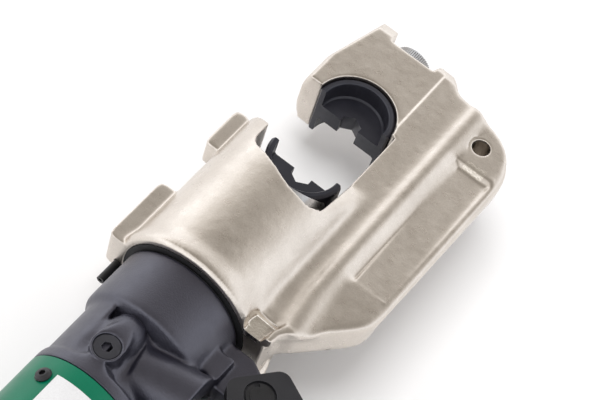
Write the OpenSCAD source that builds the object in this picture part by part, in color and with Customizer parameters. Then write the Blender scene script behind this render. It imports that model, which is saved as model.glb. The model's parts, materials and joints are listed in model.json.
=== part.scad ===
// Hand-pumped hydraulic crimping tool with a swivelling C head and exchangeable U dies.
// The origin is the centre of the upper die's seat, +X runs along the ram towards the
// tip of the head, +Y points out of the C's mouth and +Z stands up from the flat side.

/* [Dies] */
// Outside diameter of the die pair
die_d = 45; // [42:0.5:46]
// Thickness of a die across the jaw
die_t = 36; // [30:0.5:37]
// Width of the raised rim round a die
die_rim = 3.8; // [2.5:0.1:5]
// Thickness of the recessed web of a die
die_web = 11; // [10:0.5:20]
// Crimped hexagon, across its flats
crimp_flats = 11.3; // [8:0.1:14]
// Opening between the dies with the ram drawn back
jaw_open = 42; // [36:0.5:43]

/* [Head] */
// Thickness of the machined jaw
jaw_t = 39; // [38:0.5:44]
// Distance from the die seat's centre to the rear rim
head_back = 142.8; // [138:0.2:155]
// Distance from the die seat's centre to the flat between the tip lugs
jaw_tip = 52.5; // [50:0.5:60]
// Height of the tall tip lug above that flat
tip_lug = 10; // [4:0.5:12]
// Distance from the ram axis to the mouth side of the jaw
jaw_side = 30.5; // [28:0.5:34]
// Distance from the ram axis to the inner face of the spine
spine_in = 25.5; // [25:0.1:27]
// Distance from the ram axis to the outer face of the spine
spine_out = 83; // [76:1:90]
// Outside diameter of the barrel
barrel_d = 82; // [78:1:90]
// How far the inner corner of the barrel's prong lies behind the die seat's centre
prong_back = 47; // [44:1:50]
// Height of the side lugs above the ram axis
side_lug = 49; // [45:0.5:54]
// Diameter of the hanging hole
hang_d = 10; // [6:0.5:12]
// Depth of the panel in the spine
panel_depth = 3; // [1.5:0.1:4]

/* [Ram and cylinder] */
// Diameter of the ram
ram_d = 47; // [46:0.2:47.6]
// Diameter of the hollow in the ram
ram_hollow_d = 24; // [22:0.5:28]
// Outside diameter of the cylinder's nose inside the head
nose_d = 66; // [62:0.5:68]
// Wire of the return spring
return_wire = 2.4; // [1.6:0.1:2.6]

/* [Pump body] */
// Diameter of the drum behind the head
drum_d = 69.6; // [66:0.2:72]
// Length of the drum
drum_l = 34; // [30:1:40]
// Diameter of the round side of the waist behind the drum
waist_d = 63; // [61:0.5:64]
// Diameter of the core between the bosses
core_d = 48; // [46:0.5:52]
// Length of the pump body in front of the sleeve
body_l = 76; // [74:1:90]
// Diameter of the pump plunger
plunger_d = 12; // [9:0.5:12]
// Diameter of the pump boss's rounded sides
pump_boss_d = 29; // [28:0.5:31]
// Height of the pump boss across the handle's plane
pump_boss_h = 53; // [48:1:56]

/* [Handles] */
// Diameter of the reservoir sleeve
sleeve_d = 66; // [65:0.5:70]
// Length of the reservoir sleeve
sleeve_l = 168; // [140:2:220]
// Wall of the reservoir sleeve
sleeve_wall = 3; // [2:0.1:3.4]
// Length of the fixed grip
fixed_grip_l = 156; // [120:2:200]
// Diameter of the grips
grip_d = 37; // [33:0.5:40]
// Diameter of the handle tubes
tube_d = 27; // [24:0.5:28]
// Length of the moving handle from its pivot
moving_l = 345; // [300:5:400]
// How far the moving handle stands open
open_angle = 51; // [31:1:62]
// Distance from the ram axis to the handle's pivot
pivot_out = 63; // [62:0.5:68]
// Diameter of the pivot pin
pivot_pin_d = 10; // [8:0.5:11]

/* [Hidden] */

// Resolution of round faces, small round faces and rounded corners
round_fn = 96;
small_fn = 48;
corner_steps = 6;
// Overrun of every cut, running fit, seated fit, gap between moving bodies
over = 2;
run_fit = 0.05;
seat_fit = 0.02;
body_gap = 0.6;
edge = 1;
fine_edge = 0.5;

// Dies
die_r = die_d / 2;
die_recess_r = die_r - die_rim;
die_seat_gap = 0.3;
seat_r = die_r + die_seat_gap;
seat_bevel = 0.3;
crimp_corner_r = crimp_flats / sqrt(3);
rim_bevel = 1;
die_edge = 1.5;
recess_edge = 0.6;
recess_round = 1;
latch_r = 4;
latch_room = 0.25;
latch_hole_l = 9;
detent_r = 2.5;
detent_depth = 1.2;
lower_x = -jaw_open;

// Head
forged_step = 1;
rib_rise = 2.2;
jaw_flat_share = 0.86;
jaw_face = 1.5;
flank_bulge = 4;
flank_z_shares = [0.4, 0.75];
flank_bulge_share = 0.65;
rib_in_share = 0.48;
rib_top_shares = [0.53, 0.59];
rib_out_share = 0.66;
bead_share = 0.93;
bead_fall_shares = [0.97, 0.84];
bead_drop_share = 0.55;
spine_draft = 1.5;
barrel_r = barrel_d / 2;
rear_lobe = 48;
tip_half = 21;
tip_notch = 12.5;
tip_notch_out = 15.5;
tip_corner_r = 2;
small_lug_shares = [0.72, 0.63];
tip_fall_share = 0.5;
small_lug_out_share = 0.34;
nose_r_share = 0.3;
nose_corner_share = 0.955;
nose_out_share = 0.41;
corner_x_share = 0.73;
spine_corner_r = 27;
tail_x_share = 0.67;
tail_drop = 3;
tail_r = 30;
neck_x_share = 0.91;
neck_out_share = 0.6;
neck_r = 16;
core_share = 0.73;
mouth_room = 11;
mouth_back = die_r + jaw_open + mouth_room;
mouth_out = 25;
mouth_corner_r = 9;
mouth_slant = 14;
mouth_knee_share = 0.235;
mouth_knee_r = 30;
prong_rake_share = 0.64;
blend_r = 14;
flank_top_share = 0.8;
panel_x_shares = [-0.585, 0.08];
panel_y_shares = [0.59, 0.7, 0.915];
panel_end_shares = [0.3, 1];
hang_x_share = 0.55;
hang_y_share = 0.76;
hang_bevel = 0.4;
rear_lug_l = 42;
rear_lug_half = 12;
front_lug_l = 28;
front_lug_half = 9;
front_lug_x_share = 0.45;
lug_corner_r = 3;
rim_round = 2;
rim_rise = 1.5;
rim_l = 4;
rim_flare = 8;
rear_pocket_wall = 3.5;
rear_pocket_l = 8.5;
rear_pocket_y_shares = [0.7, 0.92];
rear_pocket_z_share = 0.88;
stop_r = 2.2;
stop_room = 5.6;
stop_wall = 0.8;
stop_drop = 8;
stop_reach = 13.6;
stop_depth = 20;
dust_seal_r = 37.4;
dust_seal_l = 3;
stop_socket = 2;
stop_socket_depth = 3;

// Ram, cylinder and return spring
ram_r = ram_d / 2;
nose_r = nose_d / 2;
x_rim = -head_back;
nose_front_gap = 0.5;
front_wall = 14;
x_nose_front = -mouth_back - front_wall;
ram_guide_gap = 0.5;
saddle_drop = 10;
ram_front = lower_x - saddle_drop;
x_body = x_rim - body_gap;
cyl_tail = 18.6;
x_cyl_floor = x_body - cyl_tail;
cyl_floor_t = 8;
x_liner_back = x_cyl_floor - cyl_floor_t;
liner_step = 4;
liner_tail_r = nose_r - liner_step;
ram_back_gap = 4;
ram_back = x_cyl_floor + ram_back_gap;
ram_hollow_r = ram_hollow_d / 2;
ram_crown = 16.1;
ram_hollow_end = lower_x - die_r - ram_crown;
washer_t = 6;
rod_r = 4.5;
rod_head_r = ram_hollow_r - edge;
rod_head_t = 4;
rod_head_gap = 4;
rod_front = ram_hollow_end - rod_head_gap;
return_turns = 8;
return_mean_r = 8.6;
seal_l = 6;
seal_inset = 4;
seal_depth = 3.5;
wiper_l = 4;
wiper_inset = 2;
wiper_depth = 3;
guide_screw_r = 2.5;
guide_screw_inset = 4;
guide_screw_x = x_nose_front + guide_screw_inset;
guide_slot_depth = 3;
guide_slot_gap = 0.4;
ring_wire_r = 1.2;
ring_gap = 0.3;
ring_inset = 11;

// Die release button
button_r = 11.5;
button_t = 7;
button_lift = 4.5;
collar_t = 9;
collar_r = 8;
shank_r = 4.9;
shank_room = 5;
flange_t = 3;
flange_r = 7.4;
flange_gap = 0.4;
pocket_r = collar_r;
pocket_wall = 4.2;
pocket_floor = seat_r + pocket_wall;
latch_engage = 3;
button_wire = 1.2;
button_turns = 5;
button_mean_r = 6.2;
knurls = 56;
knurl_depth = 0.6;
button_core_r = button_r - knurl_depth - fine_edge;

// Pump body
drum_r = drum_d / 2;
stop_at = [max(drum_r + stop_room, dust_seal_r + stop_r + stop_wall), -stop_drop];
waist_r = waist_d / 2;
core_r = core_d / 2;
lobe_share = 0.5;
shoulder_l = 4;
flange_len = 8;
flange_rise = 1.5;
spigot_l = 22;
sleeve_r = sleeve_d / 2;
sleeve_in_r = sleeve_r - sleeve_wall;
spigot_r = sleeve_in_r - run_fit;
x_shoulder = x_body - drum_l;
x_sleeve = x_body - body_l;
x_flange = x_sleeve + flange_len;
x_spigot_end = x_sleeve - spigot_l;
pivot_back = 22.6;
pivot_x = x_body - pivot_back;
pivot_r = pivot_pin_d / 2;
lug_half = 9.4;
lug_eye = 5;
lug_front_gap = 4.5;
lug_back_gap = 7;
lug_root_share = 0.6;
pad_half = 15;
pad_l = 14.5;
pad_out = 42;

// Pump drive
lever_r = 20;
swing_mid = 31;
swing_half = 31;
drive_pin_r = 4;
drive_phase = open_angle - swing_mid;
drive_x = pivot_x - lever_r * cos(drive_phase);
drive_y = -pivot_out - lever_r * sin(drive_phase);
plunger_x = pivot_x - lever_r * (1 + cos(swing_half)) / 2;
plunger_r = plunger_d / 2;
slot_gap = 0.65;
slot_end_gap = 0.4;
slot_side = lever_r * (1 - cos(swing_half)) / 2 + slot_end_gap;
yoke_half = [8, 7, 8.5];
drive_top_y = -pivot_out + lever_r * sin(swing_half);
nut_end_y = drive_top_y + yoke_half[1] + body_gap;
nut_t = 4;
nut_flats = 16;
nut_shank_r = 8;
nut_shank_l = 8;
plunger_seal_l = 3.5;
boss_end_y = nut_end_y + nut_t;
pump_boss_r = pump_boss_d / 2;
pump_boss_rise = pump_boss_h / 2 - pump_boss_r;
pump_boss_l = 33;
pump_boss_lean = 2.6;
pump_boss_tilt = 12;
plunger_end_room = 4;
plunger_l = 46;
pump_bore_end = drive_top_y + plunger_l + plunger_end_room;

// Valves
valve_front = 17;
valve_x = x_sleeve + valve_front;
valve_y = 4;
valve_boss_r = 11;
valve_rib_drop = 1;
valve_rib_l = 36.5;
valve_rise = 2;
valve_top = waist_r + valve_rise;
valve_plug_r = 7;
valve_plug_t = 9;
valve_plug_sink = 0.8;
valve_socket = 5;
valve_socket_depth = 5;
valve_bore_r = 4.5;
valve_floor = 6;
valve_ball_r = 3.5;
valve_wire = 0.9;
valve_turns = 4;

// Release valve
release_x_share = 0.3445;
release_arm_share = 0.2;
release_room = plunger_x - x_sleeve;
release_x = x_sleeve + release_room * release_x_share;
release_y = -39;
release_eye_r = 5;
release_half = 4;
release_ear_t = 3.5;
release_ear_gap = 0.4;
release_hinge_r = 2;
release_arm = release_room * release_arm_share;
release_l = 43;
release_thick = 5;
release_flare = 2;
release_pin_r = 2;
release_head_r = 3.3;
release_head_t = 1.4;
release_gap = 0.6;
release_pin_l = 22;
release_pocket_r = 4;
release_pocket_floor = 27;
release_wire = 0.8;
release_turns = 4;
release_mean_r = 2.75;

// Handles
sleeve_gap = 0.3;
neck_l = 34;
neck_out_r = 21;
plug_r = neck_out_r - sleeve_wall;
plug_l = 30;
tube_r = tube_d / 2;
tube_wall = 2.5;
x_sleeve_end = x_sleeve - sleeve_gap - sleeve_l;
x_neck = x_sleeve_end + neck_l;
tube_overlap = 24;
grip_r = grip_d / 2;
grip_gap = 0.3;
grip_flange_rise = 2;
grip_flange_r = grip_r + grip_flange_rise;
grip_flange_l = 6;
grip_rings = 9;
grip_groove = 1.2;
cap_l = 8;
x_fixed_end = x_sleeve_end - grip_gap - fixed_grip_l;
screw_count = 4;
screw_phase = 59;
screw_back = 12.5;
screw_x = x_sleeve - screw_back;
screw_head_r = 4.2;
screw_head_h = 2.4;
screw_r = 2.5;
screw_l = 9;
screw_socket = 3;
screw_socket_depth = 1.6;
label_t = 0.35;
label_back = 9;
label_x = x_sleeve - label_back;
label_l = 74;
label_phase = 69;
label_sweep = 70;
bladder_r = 24;
bladder_end_gap = 16.3;
bladder_neck_r = 11;
bladder_neck_l = 9;
bladder_round = 9;
cheek_in = 10;
cheek_out = 18;
cheek_nose = 11.4;
cheek_up = 14;
cheek_down = 16;
cheek_wide = 21;
cheek_high = 18.4;
cheek_back = 44;
cheek_gap_back = 38;
cheek_corner_r = 6;
cheek_slope_shares = [0.4, 0.85, 1.2];
socket_back = 86;
socket_r = cheek_out;
tube_seat = 50;
counterbore_r = 8.2;
counterbore_depth = 2;
clip_t = 1.2;
clip_r = 7;
clip_slit = 3;
clip_gap = 0.1;
moving_grip_l = 132;
roll_pin_r = 2.5;
roll_pin_back = 68;

// Unit vector
function unit(v) = v / norm(v);

// Arc that rounds the corner p, given as [x, y, radius], between its neighbours a and b
function corner(a, p, b) =
    let (q = [p[0], p[1]], u = unit([a[0], a[1]] - q), v = unit([b[0], b[1]] - q), r = p[2])
    r == 0 ? [q] :
    let (half = acos(u * v) / 2, c = q + unit(u + v) * r / sin(half))
    let (s = q + u * r / tan(half) - c, e = q + v * r / tan(half) - c)
    let (from = atan2(s[1], s[0]), turn = atan2(e[1], e[0]) - from)
    let (sweep = turn > 180 ? turn - 360 : turn < -180 ? turn + 360 : turn)
    [for (i = [0 : corner_steps]) c + r * [cos(from + sweep * i / corner_steps),
        sin(from + sweep * i / corner_steps)]];

// Outline through corners given as [x, y, radius]
function rounded(p) = [for (i = [0 : len(p) - 1])
    each corner(p[(i + len(p) - 1) % len(p)], p[i], p[(i + 1) % len(p)])];

// Solid of revolution about the X axis, its outline given as [radius, x]
module turned(outline, fn = round_fn) {
    rotate([0, 90, 0])
        rotate_extrude($fn = fn)
            polygon(outline);
}

// Round bar along X from one end to the other
module bar_x(from, to, r, fn = round_fn) {
    translate([min(from, to), 0, 0])
        rotate([0, 90, 0])
            cylinder(h = abs(to - from), r = r, $fn = fn);
}

// Round bar along Y from one end to the other
module bar_y(from, to, r, fn = small_fn) {
    translate([0, max(from, to), 0])
        rotate([90, 0, 0])
            cylinder(h = abs(to - from), r = r, $fn = fn);
}

// Round bar along Z, as long each way
module bar_z(half, r, fn = small_fn) {
    cylinder(h = 2 * half, r = r, center = true, $fn = fn);
}

// Flat plate of an outline in the XY plane, as thick each way
module plate(half, outline) {
    linear_extrude(height = 2 * half, center = true)
        polygon(outline);
}

// Compression spring along Z with one unbroken wire: rings of sides along a helix
module coil(mean_r, wire, length, turns) {
    rings = 8;
    sides = 6;
    count = turns * rings;
    rise = length - wire;
    function centre(i) = [mean_r * cos(360 * i / rings), mean_r * sin(360 * i / rings),
        wire / 2 + rise * i / count];
    function skin(i, k) = let (a = 360 * k / sides, c = centre(i), w = wire / 2)
        [c[0] + w * cos(a) * cos(360 * i / rings), c[1] + w * cos(a) * sin(360 * i / rings),
            c[2] + w * sin(a)];
    echo(least_gap = min([for (i = [0 : count - rings]) norm(centre(i + rings) - centre(i)) - wire]));
    points = [for (i = [0 : count]) for (k = [0 : sides - 1]) skin(i, k)];
    walls = [for (i = [0 : count - 1]) for (k = [0 : sides - 1])
        let (a = i * sides + k, b = i * sides + (k + 1) % sides)
        each [[a, a + sides, b], [b, a + sides, b + sides]]];
    start = [for (k = [1 : sides - 2]) [0, k, k + 1]];
    finish = [for (k = [1 : sides - 2]) [count * sides, count * sides + k + 1, count * sides + k]];
    polyhedron(points = points, faces = concat(start, walls, finish));
}

// Forged head
head_outline = rounded([
    [jaw_face, jaw_side + flank_bulge, edge],
    [die_r, jaw_side + flank_bulge, die_d],
    [jaw_tip + tip_lug, tip_half + flank_bulge, tip_corner_r],
    [jaw_tip + tip_lug, tip_notch + edge, edge],
    [jaw_tip, tip_notch, edge],
    [jaw_tip, -tip_notch_out, edge],
    [jaw_tip + tip_lug * small_lug_shares[0], -tip_notch_out - edge, edge],
    [jaw_tip + tip_lug * small_lug_shares[1], -spine_out * small_lug_out_share, tip_corner_r],
    [jaw_tip * nose_corner_share, -spine_out * nose_out_share, die_r * nose_r_share],
    [jaw_tip * corner_x_share, -spine_out, spine_corner_r],
    [x_rim * tail_x_share, -spine_out + tail_drop, tail_r],
    [x_rim * neck_x_share, -spine_out * neck_out_share, neck_r],
    [x_rim, -rear_lobe, edge],
    [x_rim, barrel_r * core_share, 0],
    [-mouth_back - edge, barrel_r * core_share, 0],
    [-mouth_back - edge, -spine_in, 0],
    [jaw_face, -spine_in, edge]]);

// Half of the jaw's bulging flank on its mouth side, as [y, z]
flank_half = [
    [jaw_side + flank_bulge, jaw_t / 2 * flank_z_shares[0]],
    [jaw_side + flank_bulge * flank_bulge_share, jaw_t / 2 * flank_z_shares[1]],
    [jaw_side, jaw_t / 2]];

// Half of the head's cross-section as [y, z], from the flank over the jaw's flat to the spine
forged_half = jaw_t / 2 + forged_step;
spine_half_section = concat(flank_half, [
    [-spine_in * jaw_flat_share, jaw_t / 2],
    [-spine_in * jaw_flat_share - forged_step, forged_half],
    [-spine_out * rib_in_share, forged_half],
    [-spine_out * rib_top_shares[0], forged_half + rib_rise],
    [-spine_out * rib_top_shares[1], forged_half + rib_rise],
    [-spine_out * rib_out_share, forged_half],
    [-spine_out * bead_share, forged_half],
    [-spine_out * bead_fall_shares[0], forged_half * bead_fall_shares[1]],
    [-spine_out + edge, forged_half * bead_drop_share],
    [-spine_out - spine_draft, 0]]);

// Half of the space inside the flank that slopes to the tip, and the turn of that flank
tip_half_section = concat(flank_half,
    [[jaw_side, barrel_r], [-2 * barrel_d, barrel_r], [-2 * barrel_d, 0]]);
tip_turn = atan2(jaw_side - tip_half, jaw_tip + tip_lug - die_r);

function mirrored(p) = concat(p, [for (i = [len(p) - 2 : -1 : 0]) [p[i][0], -p[i][1]]]);

// Concave fillet between the barrel and the spine's flat, as an outline in YZ
blend_z = forged_half + blend_r;
blend_y = -sqrt(pow(barrel_r + blend_r, 2) - pow(blend_z, 2));
blend_from = atan2(-blend_z, -blend_y);
blend_outline = concat(
    [for (i = [0 : corner_steps]) let (a = blend_from + (-90 - blend_from) * i / corner_steps)
        [blend_y + blend_r * cos(a), blend_z + blend_r * sin(a)]],
    [[blend_y, jaw_t / 2], [blend_y / 2, jaw_t / 2]]);

module spine_plate() {
    length = head_back + jaw_tip + tip_lug + 2 * over;
    intersection() {
        plate(barrel_r, head_outline);
        translate([x_rim - over, 0, 0])
            rotate([90, 0, 90])
                linear_extrude(height = length)
                    polygon(mirrored(spine_half_section));
        translate([die_r, jaw_side, 0])
            rotate([0, 0, -tip_turn])
                translate([-length, -jaw_side, 0])
                    rotate([90, 0, 90])
                        linear_extrude(height = 2 * length)
                            polygon(mirrored(tip_half_section));
    }
}

// Space above the lugs at the tip, whose tops fall away from the jaw's flat
module tip_fall() {
    fall_l = 2 * tip_lug;
    rotate([90, 0, 0])
        linear_extrude(height = 2 * spine_out, center = true)
            polygon([[jaw_tip, forged_half], [jaw_tip + fall_l, forged_half - fall_l * tip_fall_share],
                [jaw_tip + fall_l, barrel_d], [jaw_tip, barrel_d]]);
}

// Front of the prong at a distance from the ram axis: it rakes forwards from its inner corner
function prong_x(y) = -prong_back + (y - mouth_out) * prong_rake_share;

module barrel() {
    rim_r = barrel_r + rim_rise;
    turned([[0, x_rim], [rim_r - rim_round, x_rim], [rim_r, x_rim + rim_round],
        [rim_r, x_rim + rim_l], [barrel_r, x_rim + rim_l + rim_flare],
        [barrel_r, prong_x(barrel_r)], [0, prong_x(barrel_r)]]);
}

// Barrel with its fillets to the spine, all falling to the spine's flat along the mouth
module tapered_barrel() {
    front = prong_x(barrel_r);
    difference() {
        union() {
            barrel();
            for (side = [0, 1])
                mirror([0, 0, side])
                    translate([x_rim + edge, 0, 0])
                        rotate([90, 0, 90])
                            linear_extrude(height = front - x_rim - edge)
                                polygon(blend_outline);
        }
        for (side = [0, 1])
            mirror([0, 0, side])
                translate([0, -spine_in + edge, 0])
                    rotate([90, 0, 0])
                        linear_extrude(height = spine_out)
                            polygon([[-mouth_back, barrel_r * flank_top_share],
                                [front, forged_half - edge], [front + edge, forged_half - edge],
                                [front + edge, barrel_d], [-mouth_back, barrel_d]]);
    }
}

// Milled relief on the rear lobe, and the spine's panel that slopes down from the rib
module rear_pocket() {
    x = x_rim + rear_pocket_wall;
    translate([0, 0, forged_half * rear_pocket_z_share])
        linear_extrude(height = barrel_r)
            polygon(rounded([for (c = [[0, 0], [1, 0], [1, 1], [0, 1]])
                [x + c[0] * rear_pocket_l, -rear_lobe * rear_pocket_y_shares[c[1]], edge]]));
}

module spine_panel() {
    low = forged_half - panel_depth;
    high = forged_half + rib_rise;
    ends = panel_x_shares * head_back;
    intersection() {
        translate([2 * ends[0], 0, 0])
            rotate([90, 0, 90])
                linear_extrude(height = 2 * head_back)
                    polygon([[-spine_out * panel_y_shares[0], high],
                        [-spine_out * panel_y_shares[1], low], [-spine_out * panel_y_shares[2], low],
                        [-spine_out * panel_y_shares[2] - edge, high]]);
        rotate([90, 0, 0])
            linear_extrude(height = 2 * spine_out)
                polygon([[ends[0], low], [ends[1], low],
                    [ends[1] + (high - low) * panel_end_shares[1], high],
                    [ends[0] - (high - low) * panel_end_shares[0], high]]);
    }
}

module side_lug_block(from, length, half) {
    plate(half, rounded([[from, 0, 0], [from + length, 0, 0],
        [from + length, side_lug, lug_corner_r], [from, side_lug, lug_corner_r]]));
}

module c_head() {
    color([0.76, 0.72, 0.65])
    difference() {
        union() {
            spine_plate();
            tapered_barrel();
            side_lug_block(x_rim, rear_lug_l, rear_lug_half);
            side_lug_block(x_rim * front_lug_x_share, front_lug_l, front_lug_half);
        }
        // mouth for the conductor, die seat and its bevels
        plate(barrel_d, rounded([[-mouth_back, -spine_in, mouth_corner_r],
            [jaw_face, -spine_in, 0], [jaw_face, side_lug + over, 0],
            [prong_x(side_lug + over), side_lug + over, 0], [prong_x(mouth_out), mouth_out, edge],
            [-mouth_back + mouth_slant, mouth_out, mouth_corner_r],
            [-mouth_back, -spine_in * mouth_knee_share, mouth_knee_r]]));
        bar_z(barrel_d, seat_r, round_fn);
        for (side = [0, 1])
            mirror([0, 0, side])
                translate([0, 0, jaw_t / 2 - seat_bevel])
                    cylinder(h = seat_bevel + over, r1 = seat_r, r2 = seat_r + seat_bevel + over,
                        $fn = round_fn);
        // cylinder nose, dust seal, ram, wiper and retaining ring
        bar_x(x_rim - over, x_rim + dust_seal_l, dust_seal_r + seat_fit);
        bar_x(x_rim - over, x_nose_front, nose_r + run_fit);
        bar_x(x_nose_front - over, lower_x, ram_r + ram_guide_gap);
        bar_x(-mouth_back - wiper_inset - wiper_l, -mouth_back - wiper_inset, ram_r + wiper_depth);
        turned([for (i = [0 : small_fn / 2 - 1]) let (a = 360 * i / (small_fn / 2))
            [nose_r + (ring_wire_r + ring_gap) * cos(a),
                x_rim + ring_inset + (ring_wire_r + ring_gap) * sin(a)]]);
        translate([guide_screw_x, 0, -barrel_r / 2])
            bar_z(barrel_r / 2 + over, guide_screw_r + seat_fit);
        // die release button
        bar_x(0, pocket_floor + over, latch_r + run_fit, small_fn);
        bar_x(pocket_floor, jaw_tip + over, pocket_r + seat_fit, small_fn);
        bar_x(jaw_tip, jaw_tip + tip_lug + over, button_r + body_gap);
        // stop pin, hanging hole, spine panels, rear pockets and slopes of the tip lugs
        translate([0, stop_at[0], stop_at[1]])
            bar_x(x_rim - over, x_rim + stop_depth, stop_r + seat_fit, small_fn);
        translate([jaw_tip * hang_x_share, -spine_out * hang_y_share, 0]) {
            bar_z(barrel_r, hang_d / 2);
            for (side = [0, 1])
                mirror([0, 0, side])
                    translate([0, 0, forged_half - hang_bevel])
                        cylinder(h = hang_bevel + over, r1 = hang_d / 2,
                            r2 = hang_d / 2 + hang_bevel + over, $fn = small_fn);
        }
        for (side = [0, 1])
            mirror([0, 0, side]) {
                spine_panel();
                rear_pocket();
                tip_fall();
            }
    }
}

// Die with its flat on the parting plane and its round towards +X
module die() {
    half = die_t / 2;
    web = die_web / 2;
    difference() {
        intersection() {
            rotate_extrude($fn = round_fn)
                polygon([[0, -half], [die_r - die_edge, -half], [die_r, die_edge - half],
                    [die_r, half - die_edge], [die_r - die_edge, half], [0, half]]);
            translate([0, -die_r, -half])
                cube([die_r, die_d, die_t]);
        }
        for (side = [0, 1])
            mirror([0, 0, side])
                rotate_extrude($fn = round_fn)
                    polygon([[0, web], [die_recess_r - recess_round, web],
                        [die_recess_r, web + recess_round], [die_recess_r, half - recess_edge],
                        [die_recess_r + recess_edge + over, half + over], [0, half + over]]);
        bar_z(die_t, crimp_corner_r, 6);
        for (side = [0, 1])
            mirror([0, side, 0])
                plate(die_t, [[-over, die_r - rim_bevel - over], [-over, die_r + over],
                    [rim_bevel, die_r + over], [rim_bevel, die_r]]);
    }
}

module upper_die() {
    color([0.10, 0.10, 0.12])
    difference() {
        die();
        bar_x(die_r - latch_hole_l, die_r + over, latch_r + latch_room, small_fn);
    }
}

module lower_die() {
    color([0.10, 0.10, 0.12])
    difference() {
        translate([lower_x, 0, 0])
            mirror([1, 0, 0])
                die();
        translate([lower_x - die_r, 0, 0])
            sphere(r = detent_r + seat_fit, $fn = small_fn);
    }
}

module head_stop_pin() {
    color([0.12, 0.12, 0.13])
    translate([0, stop_at[0], stop_at[1]])
        difference() {
            bar_x(x_rim - stop_reach, x_rim + stop_depth, stop_r, small_fn);
            bar_x(x_rim - stop_reach - over, x_rim - stop_reach + stop_socket_depth,
                stop_socket / sqrt(3), 6);
        }
}

module head_dust_seal() {
    color([0.08, 0.08, 0.08])
    difference() {
        bar_x(x_rim, x_rim + dust_seal_l, dust_seal_r);
        bar_x(x_rim - over, x_rim + dust_seal_l + over, nose_r + run_fit);
    }
}

module button_collar() {
    color([0.55, 0.55, 0.55])
    difference() {
        bar_x(jaw_tip - collar_t, jaw_tip, collar_r, small_fn);
        bar_x(jaw_tip - collar_t - over, jaw_tip + over, shank_r + body_gap, small_fn);
    }
}

module die_release_button() {
    flange_x = jaw_tip - collar_t - flange_gap;
    knob_x = jaw_tip + button_lift;
    color([0.72, 0.72, 0.70])
    union() {
        turned([[0, die_r - latch_engage], [latch_r - fine_edge, die_r - latch_engage],
            [latch_r, die_r - latch_engage + fine_edge], [latch_r, pocket_floor + shank_room],
            [shank_r, pocket_floor + shank_room], [shank_r, flange_x - flange_t],
            [flange_r, flange_x - flange_t], [flange_r, flange_x], [shank_r, flange_x],
            [shank_r, knob_x], [button_core_r - edge, knob_x], [button_core_r, knob_x + fine_edge],
            [button_core_r, knob_x + button_t - edge], [button_core_r - edge, knob_x + button_t],
            [0, knob_x + button_t]], small_fn);
        translate([knob_x + edge, 0, 0])
            rotate([90, 0, 90])
                linear_extrude(height = button_t - 2 * edge)
                    polygon([for (i = [0 : 2 * knurls - 1])
                        (button_r - knurl_depth * (i % 2)) * [cos(180 * i / knurls),
                            sin(180 * i / knurls)]]);
    }
}

module button_spring() {
    color([0.60, 0.60, 0.62])
    translate([pocket_floor, 0, 0])
        rotate([0, 90, 0])
            coil(button_mean_r, button_wire,
                jaw_tip - collar_t - flange_gap - flange_t - pocket_floor, button_turns);
}

module ram_wiper() {
    color([0.15, 0.15, 0.15])
    difference() {
        bar_x(-mouth_back - wiper_inset - wiper_l, -mouth_back - wiper_inset,
            ram_r + wiper_depth - seat_fit);
        bar_x(-mouth_back - wiper_inset - wiper_l - over, -mouth_back, ram_r + run_fit);
    }
}

module ram_guide_screw() {
    screw_top = ram_r - guide_slot_depth + guide_slot_gap;
    color([0.30, 0.30, 0.32])
    translate([guide_screw_x, 0, 0])
        difference() {
            translate([0, 0, -barrel_r + edge])
                cylinder(h = barrel_r - edge - screw_top, r = guide_screw_r, $fn = small_fn);
            translate([0, 0, -barrel_r + edge - over])
                cylinder(h = stop_socket_depth + over, r = stop_socket / sqrt(3), $fn = 6);
        }
}

// Ram with its saddle for the lower die, drawn back
module ram() {
    color([0.70, 0.70, 0.70])
    difference() {
        turned([[0, ram_back], [ram_r - edge, ram_back], [ram_r, ram_back + edge],
            [ram_r, ram_front - edge], [ram_r - edge, ram_front], [0, ram_front]]);
        translate([lower_x, 0, 0])
            bar_z(ram_d, seat_r, round_fn);
        bar_x(ram_back - over, ram_hollow_end, ram_hollow_r, small_fn);
        difference() {
            bar_x(ram_back + seal_inset, ram_back + seal_inset + seal_l, ram_r + over);
            bar_x(ram_back, ram_back + 2 * seal_l, ram_r - seal_depth);
        }
        translate([guide_screw_x - jaw_open - 2 * guide_screw_r, -guide_screw_r - guide_slot_gap,
            -ram_r - over])
            cube([jaw_open + 4 * guide_screw_r, 2 * (guide_screw_r + guide_slot_gap),
                guide_slot_depth + over]);
        bar_x(lower_x - die_r - 2 * detent_r, lower_x, detent_r + seat_fit, small_fn);
    }
}

module die_detent() {
    detent_x = lower_x - die_r;
    color([0.65, 0.65, 0.66])
    intersection() {
        union() {
            translate([detent_x - detent_depth, 0, 0])
                sphere(r = detent_r, $fn = small_fn);
            bar_x(detent_x - 2 * detent_r, detent_x - detent_depth, detent_r, small_fn);
        }
        bar_x(detent_x - 2 * detent_r, detent_x + detent_r, detent_r, small_fn);
    }
}

module piston_seal() {
    color([0.16, 0.16, 0.17])
    difference() {
        bar_x(ram_back + seal_inset, ram_back + seal_inset + seal_l, ram_r);
        bar_x(ram_back, ram_back + 2 * seal_l, ram_r - seal_depth + seat_fit);
    }
}

module spring_washer() {
    color([0.62, 0.62, 0.63])
    difference() {
        bar_x(ram_back, ram_back + washer_t, ram_hollow_r - seat_fit, small_fn);
        bar_x(ram_back - over, ram_back + washer_t + over, rod_r + body_gap, small_fn);
    }
}

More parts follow.
